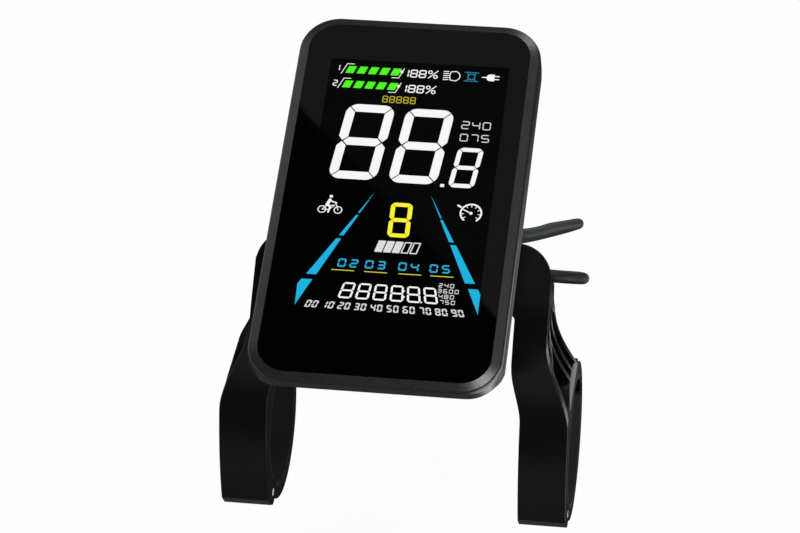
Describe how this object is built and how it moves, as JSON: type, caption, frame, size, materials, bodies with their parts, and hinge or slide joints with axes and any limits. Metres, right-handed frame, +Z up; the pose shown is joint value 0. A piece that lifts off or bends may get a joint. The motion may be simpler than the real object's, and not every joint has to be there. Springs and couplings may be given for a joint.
{
  "type": "e-bike display",
  "caption": "Portrait colour display for an electric bicycle, in a slim rounded housing that tilts between two arms clamped round the handlebar, with two short cables.",
  "frame": {"origin": "on the handlebar's axis, midway between the two clamps", "axes": "+X along the handlebar to the rider's right, +Y forward, away from the rider, +Z up"},
  "size_m": [0.0867, 0.1372, 0.1154],
  "materials": {
    "lens": "gloss black, clear over the screen",
    "tape": "matt",
    "frame": "satin black",
    "seal": "matt grey",
    "panel": "dark, glossy",
    "backlight": "milky white",
    "tray": "plain sheet",
    "ribbon": "amber film",
    "board": "green solder mask",
    "chip": "matt black",
    "header": "cream nylon",
    "lead": "red insulation",
    "small_screw": "zinc plated",
    "housing": "fine texture, black",
    "bush": "plain",
    "gland": "matt black",
    "cable": "satin dark grey sheath",
    "connector": "satin black",
    "main_collar": "green",
    "keypad_collar": "yellow",
    "contact": "gold plated",
    "arm": "satin black, glass filled nylon",
    "axle": "turned steel",
    "pivot_screw": "black zinc",
    "washer": "acetal",
    "hinge_pin": "bright steel",
    "clamp_screw": "stainless",
    "liner": "matt dark grey"
  },
  "bodies": {
    "bracket": {"left_arm": "arm", "right_arm": "arm", "pivot_axle": "axle", "pivot_screws": "pivot_screw", "friction_washers": "washer", "left_hinge_pin": "hinge_pin", "right_hinge_pin": "hinge_pin", "left_clamp_nut": "clamp_screw", "right_clamp_nut": "clamp_screw", "left_front_liner": "liner", "right_front_liner": "liner"},
    "display": {"front_lens": "lens", "lens_adhesive": "tape", "bezel_frame": "frame", "housing_seal": "seal", "lcd_panel": "panel", "backlight": "backlight", "lcd_tray": "tray", "lcd_ribbon": "ribbon", "main_board": "board", "board_chips": "chip", "cable_headers": "header", "lead_wires": "lead", "board_screws": "small_screw", "rear_housing": "housing", "housing_screws": "small_screw", "pivot_bushes": "bush", "main_gland": "gland", "keypad_gland": "gland", "main_cable": "cable", "main_connector": "connector", "main_collar": "main_collar", "main_pins": "contact", "keypad_cable": "cable", "keypad_connector": "connector", "keypad_collar": "keypad_collar", "keypad_pins": "contact"},
    "left_strap": {"left_strap": "arm", "left_clamp_screw": "clamp_screw", "left_rear_liner": "liner"},
    "right_strap": {"right_strap": "arm", "right_clamp_screw": "clamp_screw", "right_rear_liner": "liner"}
  },
  "joints": [
    {"name": "display_tilt", "type": "hinge", "parent": "bracket", "child": "display", "pos_m": [0, 0.0035, 0.0438], "axis": [1, 0, 0], "range_deg": [-30, 30]},
    {"name": "left_strap_open", "type": "hinge", "parent": "bracket", "child": "left_strap", "pos_m": [0, -0.01419, -0.01278], "axis": [-1, 0, 0], "range_deg": [0, 90]},
    {"name": "right_strap_open", "type": "hinge", "parent": "bracket", "child": "right_strap", "pos_m": [0, -0.01419, -0.01278], "axis": [-1, 0, 0], "range_deg": [0, 90]}
  ]
}
